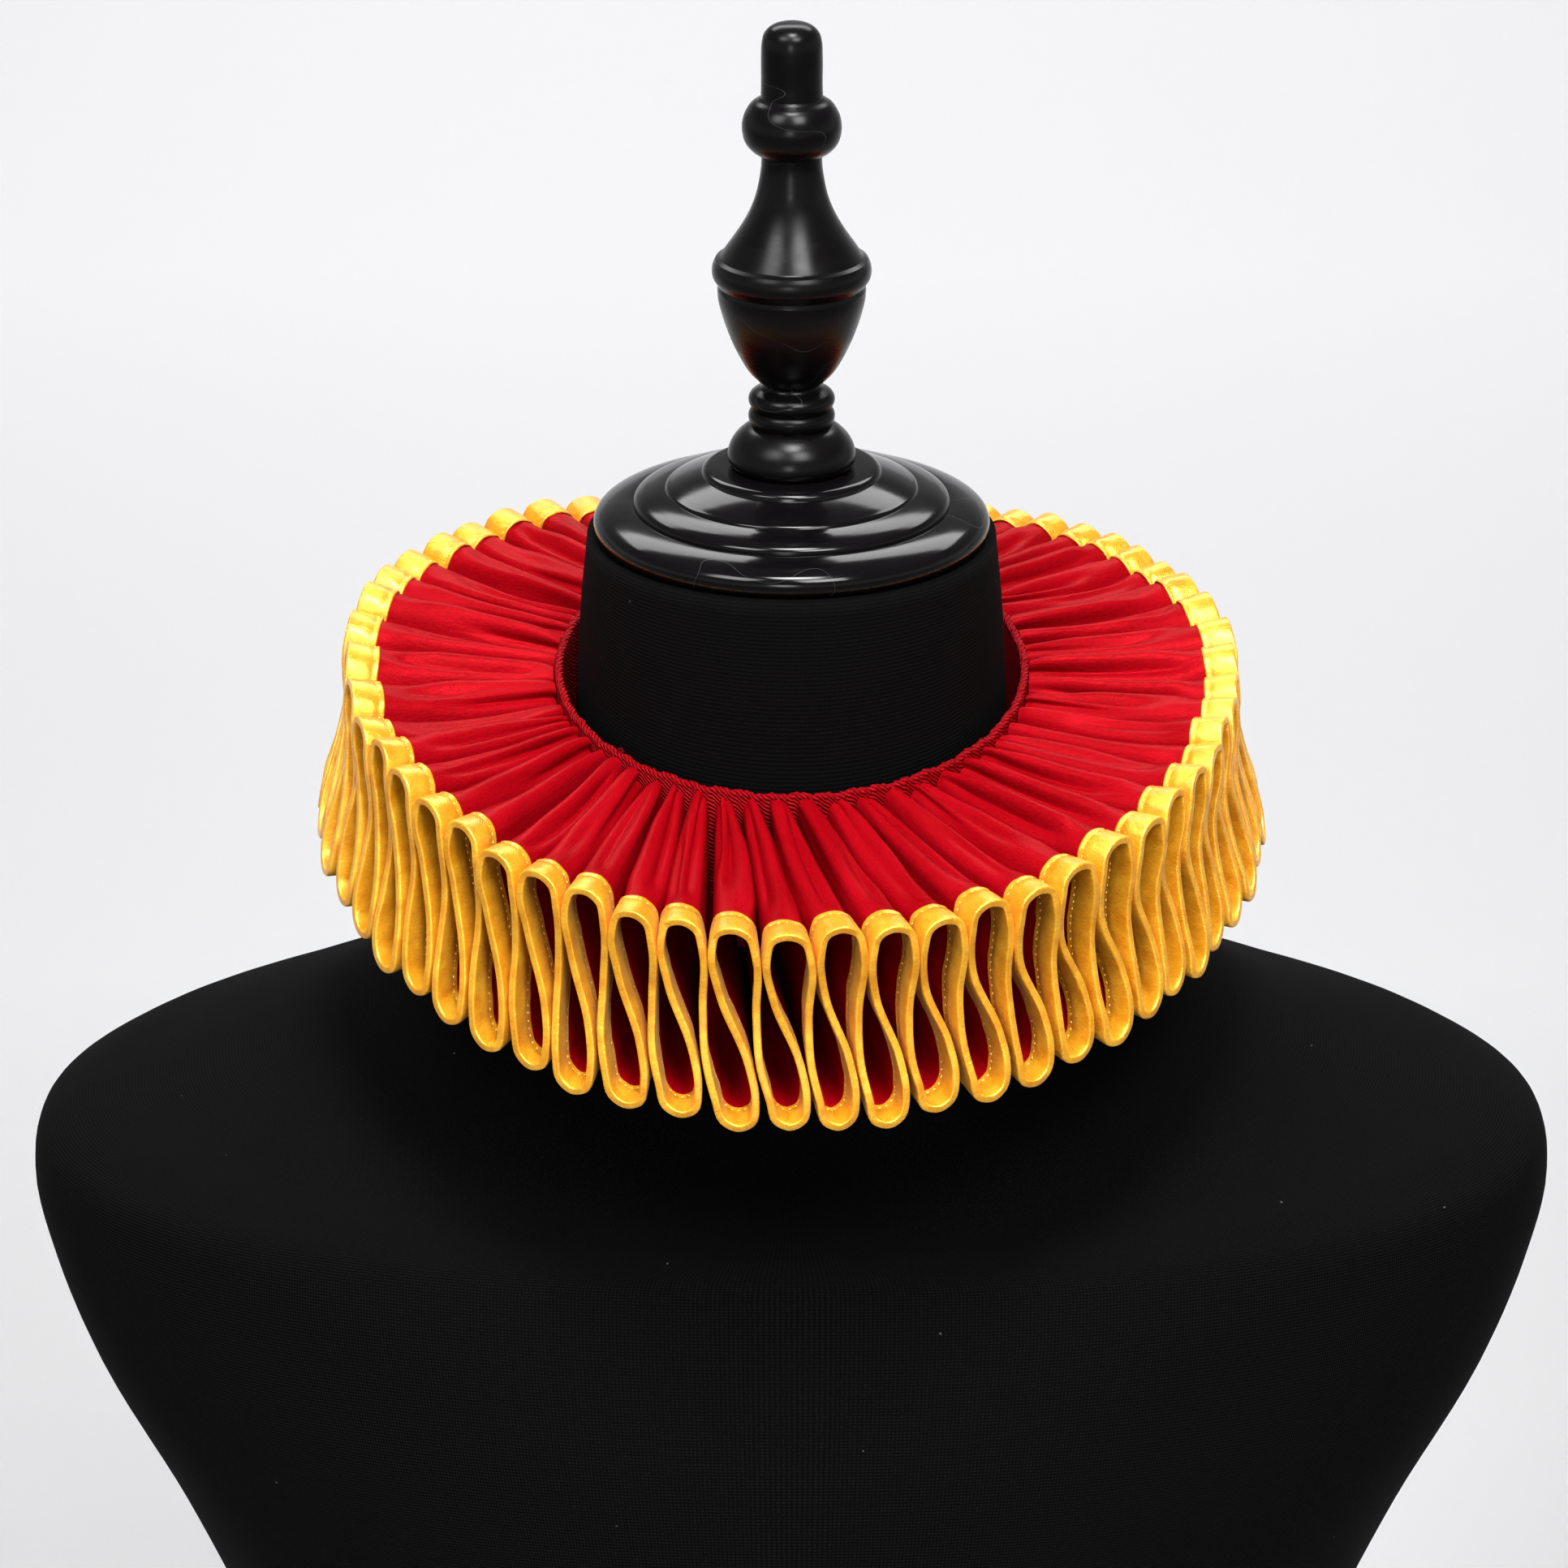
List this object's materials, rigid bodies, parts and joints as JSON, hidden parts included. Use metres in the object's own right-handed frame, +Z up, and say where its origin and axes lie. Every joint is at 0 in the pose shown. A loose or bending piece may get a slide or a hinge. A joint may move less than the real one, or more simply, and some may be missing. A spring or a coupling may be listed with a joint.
{
  "type": "ruff collar on limbless dress form",
  "caption": "Stiff pleated ruff collar of red satin with a gold satin edge, standing round the neck of a limbless black dress form with a turned neck cap and finial.",
  "frame": {"origin": "centre of the dress form's flat underside, on the surface it stands on", "axes": "+Z up along the neck and finial, front of the form towards -Y, wearer's left towards +X"},
  "size_m": [0.44, 0.2686, 0.7462],
  "materials": {
    "red_satin": "satin weave with soft folds",
    "gold_satin": "satin bias binding",
    "red_twill": "matt twill",
    "black_jersey": "fine knitted jersey",
    "black_lacquer": "turned wood with gloss black lacquer"
  },
  "bodies": {
    "root": {"ruff_strip": "red_satin", "edge_binding": "gold_satin", "neckband": "red_twill", "form_torso": "black_jersey", "form_neck_cap": "black_lacquer", "form_finial": "black_lacquer"}
  },
  "joints": []
}
